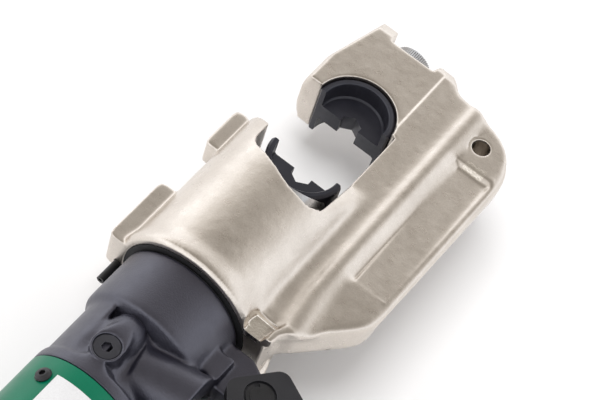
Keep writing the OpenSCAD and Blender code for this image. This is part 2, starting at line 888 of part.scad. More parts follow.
module cylinder_liner() {
    color([0.24, 0.24, 0.26])
    difference() {
        turned([[0, x_liner_back], [liner_tail_r, x_liner_back], [liner_tail_r, x_body],
            [nose_r, x_body], [nose_r, x_nose_front - nose_front_gap - edge],
            [nose_r - edge, x_nose_front - nose_front_gap], [0, x_nose_front - nose_front_gap]]);
        bar_x(x_cyl_floor, x_nose_front + over, ram_r + run_fit);
        turned([for (i = [0 : small_fn / 2 - 1]) let (a = 360 * i / (small_fn / 2))
            [nose_r + (ring_wire_r + seat_fit) * cos(a),
                x_rim + ring_inset + (ring_wire_r + seat_fit) * sin(a)]]);
        bar_x(x_liner_back - over, x_cyl_floor + over, rod_r + seat_fit, small_fn);
    }
}

module head_retaining_ring() {
    color([0.60, 0.60, 0.62])
    turned([for (i = [0 : small_fn / 2 - 1]) let (a = 360 * i / (small_fn / 2))
        [nose_r + ring_wire_r * cos(a), x_rim + ring_inset + ring_wire_r * sin(a)]]);
}

module spring_rod() {
    color([0.60, 0.60, 0.62])
    turned([[0, x_liner_back], [rod_r, x_liner_back], [rod_r, rod_front - rod_head_t],
        [rod_head_r, rod_front - rod_head_t], [rod_head_r, rod_front - edge],
        [rod_head_r - edge, rod_front], [0, rod_front]], small_fn);
}

module return_spring() {
    color([0.60, 0.60, 0.62])
    translate([ram_back + washer_t, 0, 0])
        rotate([0, 90, 0])
            coil(return_mean_r, return_wire, rod_front - rod_head_t - ram_back - washer_t,
                return_turns);
}

// Pump body
lug_outline = rounded([
    [x_body - lug_front_gap, -drum_r * lug_root_share, 0],
    [x_body - lug_front_gap, -pivot_out + 2 * pivot_r + lug_eye, lug_eye],
    [pivot_x + pivot_r + lug_eye, -pivot_out, 0],
    [pivot_x - pivot_r - lug_eye, -pivot_out, 0],
    [pivot_x - lug_back_gap, -pivot_out + 2 * pivot_r + lug_eye, lug_eye],
    [pivot_x - lug_back_gap, -drum_r * lug_root_share, 0]]);

module release_ear() {
    plate(release_half + release_ear_gap + release_ear_t, rounded([
        [release_x - release_eye_r, -waist_r * lug_root_share, 0],
        [release_x - release_eye_r, release_y - release_eye_r, release_eye_r - fine_edge],
        [release_x + release_eye_r, release_y - release_eye_r, release_eye_r - fine_edge],
        [release_x + release_eye_r, -waist_r * lug_root_share, 0]]));
}

// Boss of the pump's bore, with round upper and lower sides, that leans towards the head
module pump_boss() {
    intersection() {
        translate([plunger_x - pump_boss_lean, boss_end_y, 0])
            rotate([0, 0, pump_boss_tilt]) {
                for (z = [-pump_boss_rise, pump_boss_rise])
                    translate([0, 0, z])
                        bar_y(-pump_boss_r, pump_boss_l, pump_boss_r, round_fn);
                translate([-pump_boss_r, -pump_boss_r, -pump_boss_rise])
                    cube([pump_boss_d, pump_boss_r + pump_boss_l, 2 * pump_boss_rise]);
            }
        translate([plunger_x - drum_d, boss_end_y, -drum_r])
            cube([2 * drum_d, drum_d, drum_d]);
    }
}

// Boss of a valve, on a rib along the body with a domed front
module valve_boss() {
    rib_z = valve_top - valve_rib_drop - valve_boss_r;
    rib_front = x_sleeve + valve_rib_l;
    translate([0, valve_y, rib_z])
        turned(rounded([[0, x_sleeve + edge, 0], [valve_boss_r, x_sleeve + edge, 0],
            [valve_boss_r, rib_front, valve_boss_r - edge], [0, rib_front, 0]]), small_fn);
    translate([valve_x, valve_y, 0])
        cylinder(h = valve_top, r = valve_boss_r, $fn = small_fn);
}

module pump_body() {
    pad_x = x_rim - stop_reach - edge;
    color([0.23, 0.23, 0.27])
    difference() {
        union() {
            turned([[0, x_body], [drum_r - edge, x_body], [drum_r, x_body - edge],
                [drum_r, x_shoulder + edge], [drum_r - edge, x_shoulder],
                [core_r, x_shoulder - shoulder_l], [core_r, x_flange + flange_rise],
                [waist_r + flange_rise, x_flange - flange_rise], [waist_r + flange_rise, x_sleeve],
                [spigot_r, x_sleeve], [spigot_r, x_spigot_end], [0, x_spigot_end]]);
            intersection() {
                bar_x(x_flange - flange_rise, x_shoulder + edge, waist_r);
                translate([x_flange - over, waist_r * lobe_share, -waist_r])
                    cube([body_l, waist_r, waist_d]);
            }
            pump_boss();
            plate(lug_half, lug_outline);
            plate(pad_half, [[pad_x, -drum_r * lug_root_share], [pad_x, -pad_out],
                [pad_x - pad_l, -pad_out], [pad_x - pad_l, -drum_r * lug_root_share]]);
            translate([pivot_x, -pivot_out, 0])
                bar_z(lug_half, pivot_r + lug_eye);
            for (side = [0, 1])
                mirror([0, 0, side])
                    valve_boss();
            release_ear();
        }
        bar_x(x_liner_back, x_body + over, liner_tail_r + seat_fit);
        translate([plunger_x, 0, 0]) {
            bar_y(pump_bore_end, boss_end_y - over, plunger_r + run_fit);
            bar_y(boss_end_y + nut_shank_l + plunger_seal_l, boss_end_y - over,
                nut_shank_r + seat_fit);
        }
        translate([pivot_x, -pivot_out, 0])
            bar_z(lug_half + over, pivot_r + run_fit);
        for (side = [0, 1])
            mirror([0, 0, side])
                translate([valve_x, valve_y, 0]) {
                    translate([0, 0, valve_floor])
                        cylinder(h = valve_top, r = valve_bore_r, $fn = small_fn);
                    translate([0, 0, valve_top - valve_plug_sink - valve_plug_t])
                        cylinder(h = valve_plug_t + over, r = valve_plug_r + seat_fit,
                            $fn = small_fn);
                }
        // release lever slot, hinge hole and valve pin hole
        translate([release_x - 2 * release_eye_r, release_y - 2 * release_eye_r,
            -release_half - release_ear_gap])
            cube([4 * release_eye_r, 2 * release_eye_r - release_y - waist_r - edge,
                2 * (release_half + release_ear_gap)]);
        translate([release_x, release_y, 0])
            bar_z(release_half + 2 * release_ear_t, release_hinge_r + seat_fit);
        translate([release_x - release_arm, 0, 0]) {
            bar_y(-release_pocket_floor, -sleeve_r - over, release_pocket_r);
            bar_y(release_y + release_thick / 2 + release_pin_l + over, -sleeve_r,
                release_pin_r + run_fit);
        }
        for (i = [0 : screw_count - 1])
            rotate([screw_phase + 360 * i / screw_count, 0, 0])
                translate([screw_x, 0, 0])
                    bar_y(sleeve_r - screw_l, sleeve_r + over, screw_r + seat_fit);
    }
}

module valve_plugs() {
    color([0.28, 0.28, 0.31])
    for (side = [0, 1])
        mirror([0, 0, side])
            translate([valve_x, valve_y, valve_top - valve_plug_sink - valve_plug_t])
                difference() {
                    union() {
                        cylinder(h = valve_plug_t - fine_edge, r = valve_plug_r, $fn = small_fn);
                        cylinder(h = valve_plug_t, r = valve_plug_r - fine_edge, $fn = small_fn);
                    }
                    translate([0, 0, valve_plug_t - valve_socket_depth])
                        cylinder(h = valve_socket_depth + over, r = valve_socket / sqrt(3), $fn = 6);
                }
}

module valve_balls() {
    color([0.75, 0.75, 0.76])
    for (side = [0, 1])
        mirror([0, 0, side])
            translate([valve_x, valve_y, valve_floor + valve_ball_r])
                sphere(r = valve_ball_r, $fn = small_fn);
}

module valve_springs() {
    spring_from = valve_floor + 2 * valve_ball_r;
    color([0.60, 0.60, 0.62])
    for (side = [0, 1])
        mirror([0, 0, side])
            translate([valve_x, valve_y, spring_from])
                coil(valve_ball_r - valve_wire, valve_wire,
                    valve_top - valve_plug_sink - valve_plug_t - spring_from, valve_turns);
}

module gland_nut() {
    color([0.45, 0.45, 0.47])
    translate([plunger_x, 0, 0])
        difference() {
            union() {
                rotate([0, 30, 0])
                    bar_y(nut_end_y, boss_end_y, nut_flats / sqrt(3), 6);
                bar_y(boss_end_y, boss_end_y + nut_shank_l, nut_shank_r);
            }
            bar_y(nut_end_y - over, boss_end_y + nut_shank_l + over, plunger_r + body_gap);
        }
}

module plunger_seal() {
    color([0.15, 0.15, 0.16])
    translate([plunger_x, 0, 0])
        difference() {
            bar_y(boss_end_y + nut_shank_l, boss_end_y + nut_shank_l + plunger_seal_l, nut_shank_r);
            bar_y(boss_end_y, boss_end_y + 2 * nut_shank_l, plunger_r + run_fit);
        }
}

// Reservoir sleeve and fixed handle
module reservoir_sleeve() {
    x_front = x_sleeve - sleeve_gap;
    color([0.06, 0.45, 0.34])
    difference() {
        turned([[sleeve_in_r, x_front], [sleeve_r - fine_edge, x_front],
            [sleeve_r, x_front - fine_edge], [sleeve_r, x_neck], [neck_out_r, x_sleeve_end + edge],
            [neck_out_r - edge, x_sleeve_end], [plug_r, x_sleeve_end],
            [plug_r, x_sleeve_end + edge], [sleeve_in_r, x_neck]]);
        for (i = [0 : screw_count - 1])
            rotate([screw_phase + 360 * i / screw_count, 0, 0])
                translate([screw_x, 0, 0])
                    bar_y(sleeve_r / 2, sleeve_r + over, screw_r + seat_fit);
    }
}

module sleeve_screws() {
    color([0.10, 0.10, 0.10])
    for (i = [0 : screw_count - 1])
        rotate([screw_phase + 360 * i / screw_count, 0, 0])
            translate([screw_x, sleeve_r, 0])
                rotate([-90, 0, 0])
                    difference() {
                        rotate_extrude($fn = small_fn)
                            polygon([[0, -screw_l], [screw_r, -screw_l], [screw_r, fine_edge],
                                [screw_head_r, fine_edge], [screw_head_r, edge],
                                [screw_head_r - fine_edge, screw_head_h - fine_edge],
                                [screw_head_r - 2 * edge, screw_head_h], [0, screw_head_h]]);
                        translate([0, 0, screw_head_h - screw_socket_depth])
                            cylinder(h = screw_head_h, r = screw_socket / sqrt(3), $fn = 6);
                    }
}

module label_plate() {
    color([0.93, 0.93, 0.93])
    translate([label_x - label_l, 0, 0])
        rotate([label_phase, 0, 0])
            rotate([90, 0, 90])
                rotate_extrude(angle = label_sweep, $fn = round_fn)
                    translate([sleeve_r + run_fit, 0])
                        square([label_t, label_l]);
}

module reservoir_bladder() {
    x_tail = x_sleeve_end + plug_l + bladder_end_gap;
    x_head = x_spigot_end - bladder_neck_l;
    color([0.18, 0.18, 0.18])
    turned([[0, x_spigot_end], [bladder_neck_r, x_spigot_end], [bladder_neck_r, x_head],
        [bladder_r - bladder_round, x_head], [bladder_r, x_head - bladder_round],
        [bladder_r, x_tail + bladder_round], [bladder_r - bladder_round, x_tail], [0, x_tail]],
        small_fn);
}

module sleeve_end_plug() {
    color([0.62, 0.62, 0.63])
    difference() {
        bar_x(x_sleeve_end, x_sleeve_end + plug_l, plug_r - seat_fit);
        bar_x(x_sleeve_end - over, x_sleeve_end + tube_overlap, tube_r + seat_fit);
    }
}

module handle_tube(from, to) {
    difference() {
        bar_x(from, to, tube_r);
        bar_x(from - over, to + over, tube_r - tube_wall);
    }
}

// Ribbed rubber grip from its flanged front to its end
module grip(front, back) {
    pitch = (front - back - 2 * grip_flange_l) / grip_rings;
    flange_end = front - grip_flange_l;
    ribs = [for (i = [0 : grip_rings - 1]) each let (x = flange_end - pitch * i)
        [[grip_r - grip_groove, x], [grip_r, x - grip_groove],
            [grip_r, x - pitch + grip_groove]]];
    turned(concat([[tube_r + seat_fit, front], [grip_flange_r - edge, front],
        [grip_flange_r, front - edge], [grip_flange_r, flange_end + edge]], ribs,
        [[grip_r - grip_groove, back + grip_flange_l], [grip_r, back], [tube_r + seat_fit, back]]));
}

module handle_cap(end) {
    turned([[0, end + cap_l + tube_overlap / 2], [tube_r - tube_wall - seat_fit,
        end + cap_l + tube_overlap / 2], [tube_r - tube_wall - seat_fit, end + cap_l],
        [grip_r, end + cap_l], [grip_r, end + cap_l / 2], [grip_r - cap_l / 2, end], [0, end]]);
}

module fixed_handle_tube() {
    color([0.20, 0.20, 0.21])
    handle_tube(x_fixed_end, x_sleeve_end + tube_overlap);
}

module fixed_handle_grip() {
    color([0.09, 0.09, 0.09])
    grip(x_sleeve_end - grip_gap, x_fixed_end);
}

module fixed_handle_cap() {
    color([0.12, 0.12, 0.12])
    handle_cap(x_fixed_end - cap_l);
}

// Places what rides on the moving handle: local -X runs down the handle
module on_handle() {
    translate([pivot_x, -pivot_out, 0])
        rotate([0, 0, open_angle])
            children();
}

drive_at = lever_r * [cos(180 - swing_mid), sin(180 - swing_mid)];
cheek_outline = rounded([
    [cheek_nose, -cheek_down, cheek_corner_r],
    [cheek_nose, cheek_up, cheek_corner_r],
    [-cheek_wide * cheek_slope_shares[0], cheek_high, cheek_corner_r],
    [-cheek_wide * cheek_slope_shares[2], cheek_high, cheek_corner_r],
    [-cheek_back, socket_r * cheek_slope_shares[1], 0],
    [-cheek_back, -socket_r * cheek_slope_shares[1], 0],
    [-cheek_wide * cheek_slope_shares[2], -cheek_wide, cheek_corner_r],
    [-cheek_wide * cheek_slope_shares[0], -cheek_wide, cheek_corner_r]]);

module handle_clevis() {
    color([0.17, 0.17, 0.19])
    on_handle()
        difference() {
            union() {
                plate(cheek_out, cheek_outline);
                bar_x(-socket_back, -cheek_back + edge, socket_r);
            }
            translate([-cheek_gap_back, -2 * cheek_wide, -cheek_in])
                cube([2 * cheek_back, 4 * cheek_wide, 2 * cheek_in]);
            bar_z(cheek_out + over, pivot_r + seat_fit);
            translate(drive_at)
                bar_z(cheek_out + over, drive_pin_r + seat_fit);
            for (at = [[0, 0], drive_at])
                for (side = [0, 1])
                    mirror([0, 0, side])
                        translate([at[0], at[1], cheek_out - counterbore_depth])
                            cylinder(h = counterbore_depth + over, r = counterbore_r,
                                $fn = small_fn);
            bar_x(-socket_back - over, -tube_seat, tube_r + seat_fit);
            translate([-roll_pin_back, 0, 0])
                bar_z(socket_r + over, roll_pin_r + seat_fit, small_fn);
        }
}

// Pin across both cheeks with a groove for a ring at each end
module grooved_pin(r) {
    end_z = cheek_out - fine_edge / 2;
    groove_z = cheek_out - counterbore_depth + clip_gap;
    difference() {
        bar_z(end_z, r);
        for (side = [0, 1])
            mirror([0, 0, side])
                translate([0, 0, groove_z - clip_gap / 2])
                    difference() {
                        cylinder(h = clip_t + clip_gap, r = r + over, $fn = small_fn);
                        translate([0, 0, -over])
                            cylinder(h = clip_t + 2 * over, r = r - edge, $fn = small_fn);
                    }
    }
}

// Split retaining rings for both ends of a pin
module rings_for(r) {
    for (side = [0, 1])
        mirror([0, 0, side])
            translate([0, 0, cheek_out - counterbore_depth + clip_gap])
                difference() {
                    cylinder(h = clip_t, r = r + 2 * edge, $fn = small_fn);
                    translate([0, 0, -over])
                        cylinder(h = clip_t + 2 * over, r = r - edge + seat_fit, $fn = small_fn);
                    translate([0, -clip_slit / 2, -over])
                        cube([2 * clip_r, clip_slit, clip_t + 2 * over]);
                }
}

module pivot_pin() {
    color([0.14, 0.14, 0.15])
    on_handle()
        grooved_pin(pivot_r);
}

module pivot_rings() {
    color([0.35, 0.35, 0.37])
    on_handle()
        rings_for(pivot_r);
}

module drive_pin() {
    color([0.45, 0.45, 0.47])
    on_handle()
        translate(drive_at)
            grooved_pin(drive_pin_r);
}

module drive_rings() {
    color([0.35, 0.35, 0.37])
    on_handle()
        translate(drive_at)
            rings_for(drive_pin_r);
}

module moving_handle_tube() {
    color([0.20, 0.20, 0.21])
    on_handle()
        difference() {
            handle_tube(-moving_l, -tube_seat);
            translate([-roll_pin_back, 0, 0])
                bar_z(socket_r + over, roll_pin_r + seat_fit, small_fn);
        }
}

module moving_handle_grip() {
    color([0.09, 0.09, 0.09])
    on_handle()
        grip(-moving_l + moving_grip_l, -moving_l);
}

module moving_handle_cap() {
    color([0.12, 0.12, 0.12])
    on_handle()
        handle_cap(-moving_l - cap_l);
}

module handle_roll_pin() {
    color([0.40, 0.40, 0.42])
    on_handle()
        translate([-roll_pin_back, 0, 0])
            difference() {
                bar_z(socket_r - fine_edge, roll_pin_r, small_fn);
                bar_z(socket_r + over, roll_pin_r - edge, small_fn);
            }
}

// Plunger with its slotted yoke round the drive pin
module pump_plunger() {
    color([0.66, 0.66, 0.67])
    translate([plunger_x, drive_y, 0])
        difference() {
            union() {
                plate(yoke_half[2], rounded([for (c = [[1, 1], [-1, 1], [-1, -1], [1, -1]])
                    [c[0] * yoke_half[0], c[1] * yoke_half[1], edge]]));
                bar_y(0, plunger_l, plunger_r);
            }
            for (shift = [-slot_side, slot_side])
                translate([shift, 0, 0])
                    bar_z(yoke_half[2] + over, drive_pin_r + slot_gap);
            translate([-slot_side, -drive_pin_r - slot_gap, -yoke_half[2] - over])
                cube([2 * slot_side, 2 * (drive_pin_r + slot_gap), 2 * (yoke_half[2] + over)]);
        }
}

// Release lever, its hinge pin and the valve pin that it presses
module release_lever() {
    top = release_y + release_thick / 2;
    color([0.15, 0.15, 0.16])
    difference() {
        plate(release_half, rounded([
            [release_x + release_eye_r - fine_edge, top, fine_edge],
            [release_x - release_eye_r - release_arm, top, 0],
            [release_x - release_l, top - release_flare, edge],
            [release_x - release_l, top - release_flare - release_thick + edge, edge],
            [release_x + release_eye_r - fine_edge, top - release_thick, edge]]));
        translate([release_x, release_y, 0])
            bar_z(release_half + over, release_hinge_r + run_fit);
    }
}

module release_hinge_pin() {
    color([0.45, 0.45, 0.47])
    translate([release_x, release_y, 0])
        bar_z(release_half + release_ear_gap + release_ear_t, release_hinge_r);
}

module release_pin() {
    head_y = release_y + release_thick / 2 + release_gap;
    color([0.55, 0.55, 0.56])
    translate([release_x - release_arm, 0, 0])
        union() {
            bar_y(head_y, head_y + release_head_t, release_head_r);
            bar_y(head_y, head_y + release_pin_l, release_pin_r);
        }
}

module release_spring() {
    head_y = release_y + release_thick / 2 + release_gap + release_head_t;
    color([0.60, 0.60, 0.62])
    translate([release_x - release_arm, head_y, 0])
        rotate([-90, 0, 0])
            coil(release_mean_r, release_wire, -release_pocket_floor - head_y, release_turns);
}

c_head();
upper_die();
head_stop_pin();
head_dust_seal();
button_collar();
ram_wiper();
ram_guide_screw();
button_spring();
die_release_button();
ram();
piston_seal();
spring_washer();
lower_die();
die_detent();
pump_body();
cylinder_liner();
head_retaining_ring();
spring_rod();
return_spring();
valve_plugs();
valve_balls();
valve_springs();
gland_nut();
plunger_seal();
reservoir_sleeve();
sleeve_screws();
label_plate();
reservoir_bladder();
sleeve_end_plug();
fixed_handle_tube();
fixed_handle_grip();
fixed_handle_cap();
handle_clevis();
pivot_pin();
pivot_rings();
drive_pin();
drive_rings();
moving_handle_tube();
moving_handle_grip();
moving_handle_cap();
handle_roll_pin();
pump_plunger();
release_lever();
release_hinge_pin();
release_pin();
release_spring();
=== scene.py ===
"""Looks of a hand-pumped hydraulic crimping tool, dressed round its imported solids."""
import json
import math

import bmesh
import bpy
import numpy as np
from mathutils import Matrix, Vector


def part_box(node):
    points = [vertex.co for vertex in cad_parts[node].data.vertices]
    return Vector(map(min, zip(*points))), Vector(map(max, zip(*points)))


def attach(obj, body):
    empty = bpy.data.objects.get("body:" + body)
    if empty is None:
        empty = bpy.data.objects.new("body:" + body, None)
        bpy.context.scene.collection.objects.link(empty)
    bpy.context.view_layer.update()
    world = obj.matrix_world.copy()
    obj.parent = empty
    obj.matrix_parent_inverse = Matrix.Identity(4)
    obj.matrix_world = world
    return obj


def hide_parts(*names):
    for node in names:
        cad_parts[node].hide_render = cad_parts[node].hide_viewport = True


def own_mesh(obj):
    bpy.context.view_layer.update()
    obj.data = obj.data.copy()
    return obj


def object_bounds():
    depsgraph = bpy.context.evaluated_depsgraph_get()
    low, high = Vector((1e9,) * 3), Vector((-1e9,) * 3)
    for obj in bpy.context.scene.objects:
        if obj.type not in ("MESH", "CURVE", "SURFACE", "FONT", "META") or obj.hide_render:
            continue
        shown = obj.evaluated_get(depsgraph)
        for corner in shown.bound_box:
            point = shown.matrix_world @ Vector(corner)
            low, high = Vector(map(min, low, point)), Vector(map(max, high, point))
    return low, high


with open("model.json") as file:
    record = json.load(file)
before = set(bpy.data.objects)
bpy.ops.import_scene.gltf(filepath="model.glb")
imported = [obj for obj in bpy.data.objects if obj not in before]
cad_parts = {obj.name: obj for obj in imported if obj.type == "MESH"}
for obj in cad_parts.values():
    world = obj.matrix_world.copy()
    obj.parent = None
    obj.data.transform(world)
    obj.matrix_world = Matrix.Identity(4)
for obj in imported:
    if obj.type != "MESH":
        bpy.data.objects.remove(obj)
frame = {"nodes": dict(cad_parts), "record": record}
cad_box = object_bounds()
MM = 0.001
scene = bpy.context.scene
nodes = frame["nodes"]


def mm(*values):
    """Lengths given in millimetres, in metres."""
    return tuple(value * MM for value in values)


# Material helpers
SPECKLE_SIZE, RUB_SIZE = mm(0.8, 3)
CLOUD_DETAIL, SPECKLE_DETAIL, GLOSS_DETAIL, GRAIN_DETAIL = 6.0, 2.0, 5.0, 3.0
GLOSS_FINER = 3
EDGE_SAMPLES = 4


def new_material(name):
    """An empty material with its Principled shader."""
    made = bpy.data.materials.new(name)
    made.use_nodes = True
    return made, made.node_tree.nodes["Principled BSDF"]


def add(made, kind, **inputs):
    """A shader node with its unlinked inputs set by name."""
    node = made.node_tree.nodes.new(kind)
    for key, value in inputs.items():
        node.inputs[key].default_value = value
    return node


def join(made, start, end):
    made.node_tree.links.new(start, end)


def noise(made, size, detail=4.0):
    """Noise in the part's own frame whose features are about size metres across."""
    where = add(made, "ShaderNodeTexCoord")
    texture = add(made, "ShaderNodeTexNoise", Scale=1 / size, Detail=detail)
    join(made, where.outputs["Object"], texture.inputs["Vector"])
    return texture.outputs["Fac"]


def spread(made, value, low, high, start=0.3, end=0.7):
    """Maps a noise value from start..end to low..high."""
    ranged = add(made, "ShaderNodeMapRange")
    for key, number in zip(("From Min", "From Max", "To Min", "To Max"), (start, end, low, high)):
        ranged.inputs[key].default_value = number
    join(made, value, ranged.inputs["Value"])
    return ranged.outputs["Result"]


def blend_colours(made, share, first, second):
    """Colour between first and second; either may be a colour or an output."""
    mix = made.node_tree.nodes.new("ShaderNodeMix")
    mix.data_type = "RGBA"
    join(made, share, mix.inputs["Factor"])
    for socket, value in ((mix.inputs[6], first), (mix.inputs[7], second)):
        if isinstance(value, tuple):
            socket.default_value = (*value, 1)
        else:
            join(made, value, socket)
    return mix.outputs[2]


def tinted(made, colour, share):
    """A colour output made darker or lighter by a share output."""
    scaled = made.node_tree.nodes.new("ShaderNodeVectorMath")
    scaled.operation = "SCALE"
    join(made, colour, scaled.inputs[0])
    join(made, share, scaled.inputs["Scale"])
    return scaled.outputs["Vector"]


def multiply(made, first, second):
    product = made.node_tree.nodes.new("ShaderNodeMath")
    product.operation = "MULTIPLY"
    join(made, first, product.inputs[0])
    join(made, second, product.inputs[1])
    return product.outputs[0]


def edge_share(made, radius, start=0.02, end=0.2):
    """1 along sharp edges and 0 on flat faces."""
    rounded = made.node_tree.nodes.new("ShaderNodeBevel")
    rounded.samples = EDGE_SAMPLES
    rounded.inputs["Radius"].default_value = radius
    plain = made.node_tree.nodes.new("ShaderNodeNewGeometry")
    dot = made.node_tree.nodes.new("ShaderNodeVectorMath")
    dot.operation = "DOT_PRODUCT"
    join(made, rounded.outputs["Normal"], dot.inputs[0])
    join(made, plain.outputs["Normal"], dot.inputs[1])
    return spread(made, dot.outputs["Value"], 1, 0, 1 - end, 1 - start)


def bumps(made, shader, layers):
    """Chains bump layers given as (value, height in metres) into the shader's normal."""
    normal = None
    for value, height in layers:
        bump = add(made, "ShaderNodeBump", Distance=height, Strength=1.0)
        join(made, value, bump.inputs["Height"])
        if normal is not None:
            join(made, normal, bump.inputs["Normal"])
        normal = bump.outputs["Normal"]
    join(made, normal, shader.inputs["Normal"])


def finish(name, tones, worn, metallic, roughness, grain, mottle=12 * MM, wear=0.4,
           edge=0.5 * MM, specular=0.5, speckle=0.04, ior=1.5, gloss_tint=(1, 1, 1)):
    """A surface with mottled colour, uneven gloss, bump grain and lighter worn edges.

    grain is a list of (size, height) in metres, roughness the least and the most, and
    speckle how far the finest spots darken or lighten the colour.
    """
    made, shader = new_material(name)
    shader.inputs["Metallic"].default_value = metallic
    shader.inputs["Specular IOR Level"].default_value = specular
    shader.inputs["IOR"].default_value = ior
    shader.inputs["Specular Tint"].default_value = (*gloss_tint, 1)
    cloud = noise(made, mottle, CLOUD_DETAIL)
    colour = blend_colours(made, spread(made, cloud, 0, 1), *tones)
    spots = spread(made, noise(made, SPECKLE_SIZE, SPECKLE_DETAIL), 1 - speckle, 1 + speckle)
    colour = tinted(made, colour, spots)
    rubbed = multiply(made, edge_share(made, edge), spread(made, noise(made, RUB_SIZE), 0, wear))
    join(made, blend_colours(made, rubbed, colour, worn), shader.inputs["Base Color"])
    uneven = noise(made, mottle / GLOSS_FINER, GLOSS_DETAIL)
    join(made, spread(made, uneven, *roughness), shader.inputs["Roughness"])
    bumps(made, shader, [(noise(made, size, GRAIN_DETAIL), height) for size, height in grain])
    return made


# Finishes
nickel = finish(
    "satin_nickel", tones=((0.62, 0.567, 0.51), (0.71, 0.655, 0.595)), worn=(0.84, 0.80, 0.73),
    metallic=1.0, roughness=(0.26, 0.36), grain=[mm(5, 0.15), mm(0.9, 0.042), mm(0.4, 0.02)],
    mottle=16 * MM, wear=0.12, edge=0.7 * MM, speckle=0.05)
polished = finish(
    "polished_nickel", tones=((0.78, 0.73, 0.66), (0.86, 0.81, 0.74)), worn=(0.9, 0.87, 0.8),
    metallic=1.0, roughness=(0.10, 0.2), grain=[mm(1.2, 0.12)], mottle=4 * MM, wear=0.1,
    edge=0.4 * MM)
oxide = finish(
    "die_oxide", tones=((0.011, 0.011, 0.016), (0.016, 0.016, 0.022)), worn=(0.12, 0.12, 0.15),
    metallic=0.0, roughness=(0.32, 0.44), grain=[mm(0.5, 0.010)], mottle=9 * MM, wear=0.5,
    edge=0.3 * MM, specular=0.6, gloss_tint=(0.88, 0.9, 1.0))
paint = finish(
    "body_paint", tones=((0.0105, 0.0102, 0.016), (0.0135, 0.0132, 0.020)),
    worn=(0.08, 0.08, 0.095), metallic=0.0, roughness=(0.34, 0.44),
    grain=[mm(1.0, 0.11), mm(0.5, 0.05)], mottle=15 * MM, wear=0.45, edge=0.8 * MM,
    specular=1.0, ior=1.6, gloss_tint=(0.86, 0.86, 1.0))
clevis_paint = finish(
    "clevis_paint", tones=((0.012, 0.012, 0.015), (0.017, 0.017, 0.020)),
    worn=(0.07, 0.07, 0.08), metallic=0.0, roughness=(0.42, 0.55),
    grain=[mm(1.6, 0.05), mm(0.5, 0.02)], mottle=15 * MM, wear=0.45, edge=0.8 * MM)
green = finish(
    "sleeve_green", tones=((0.0, 0.120, 0.062), (0.001, 0.140, 0.074)), worn=(0.03, 0.24, 0.15),
    metallic=0.0, roughness=(0.30, 0.40), grain=[mm(1.2, 0.012)], mottle=25 * MM, wear=0.4,
    edge=0.4 * MM, specular=0.35)
steel = finish(
    "ground_steel", tones=((0.46, 0.46, 0.47), (0.55, 0.55, 0.56)), worn=(0.75, 0.75, 0.76),
    metallic=1.0, roughness=(0.24, 0.38), grain=[mm(0.4, 0.006)], mottle=8 * MM, wear=0.5,
    edge=0.3 * MM)
black_steel = finish(
    "black_steel", tones=((0.012, 0.012, 0.013), (0.018, 0.018, 0.020)), worn=(0.10, 0.10, 0.11),
    metallic=0.2, roughness=(0.32, 0.46), grain=[mm(0.5, 0.008)], mottle=6 * MM, wear=0.5,
    edge=0.3 * MM)
plug_black = finish(
    "plug_black", tones=((0.016, 0.016, 0.019), (0.024, 0.024, 0.028)), worn=(0.16, 0.16, 0.18),
    metallic=0.0, roughness=(0.28, 0.4), grain=[mm(0.5, 0.008)], mottle=6 * MM, wear=0.6,
    edge=0.4 * MM, specular=0.75, gloss_tint=(0.86, 0.88, 1.0))
phosphate = finish(
    "phosphate", tones=((0.05, 0.05, 0.055), (0.07, 0.07, 0.075)), worn=(0.2, 0.2, 0.21),
    metallic=0.5, roughness=(0.45, 0.6), grain=[mm(0.5, 0.01)])
tube_grey = finish(
    "dark_tube", tones=((0.025, 0.025, 0.027), (0.033, 0.033, 0.036)), worn=(0.11, 0.11, 0.115),
    metallic=0.3, roughness=(0.34, 0.46), grain=[mm(0.6, 0.006)], mottle=18 * MM, wear=0.4,
    edge=0.4 * MM)
grip = finish(
    "grip_rubber", tones=((0.010, 0.010, 0.010), (0.016, 0.016, 0.016)), worn=(0.04, 0.04, 0.04),
    metallic=0.0, roughness=(0.6, 0.78), grain=[mm(0.8, 0.05)], mottle=20 * MM, wear=0.4,
    edge=0.8 * MM, specular=0.4)
seal = finish(
    "seal_rubber", tones=((0.008, 0.008, 0.009), (0.013, 0.013, 0.014)), worn=(0.03, 0.03, 0.03),
    metallic=0.0, roughness=(0.5, 0.65), grain=[mm(0.6, 0.01)])
aluminium = finish(
    "turned_aluminium", tones=((0.55, 0.55, 0.56), (0.63, 0.63, 0.64)), worn=(0.8, 0.8, 0.8),
    metallic=1.0, roughness=(0.3, 0.42), grain=[mm(0.4, 0.006)])
white = finish(
    "plain_plate", tones=((0.60, 0.60, 0.61), (0.66, 0.66, 0.67)), worn=(0.85, 0.85, 0.85),
    metallic=0.0, roughness=(0.34, 0.46), grain=[mm(0.9, 0.004)], mottle=20 * MM, wear=0.2,
    edge=0.2 * MM)

FINISHES = {
    "head_nickel": nickel, "die_black": oxide, "body_grey": paint, "sleeve_green": green,
    "plate_white": white, "steel": steel, "black_steel": black_steel, "liner_steel": phosphate,
    "tube_grey": tube_grey, "grip_rubber": grip, "seal_rubber": seal, "plug_aluminium": aluminium}
SLOTS = {part["node"]: part["material_slot"] for part in frame["record"]["subparts"]}
BODIES = {node: body for body, held in frame["record"]["behaviour"]["bodies"].items()
          for node in held}


# Mesh helpers
WELD = 0.002 * MM
FLAT_ANGLE, SHARP_ANGLE = math.radians(0.5), math.radians(35)
BEVEL_SEGMENTS = 2
SMOOTH_STEP = 0.5


def clean_copy(node):
    """A bmesh of a node with its split vertices joined."""
    mesh = bmesh.new()
    mesh.from_mesh(nodes[node].data)
    bmesh.ops.remove_doubles(mesh, verts=mesh.verts, dist=WELD)
    return mesh


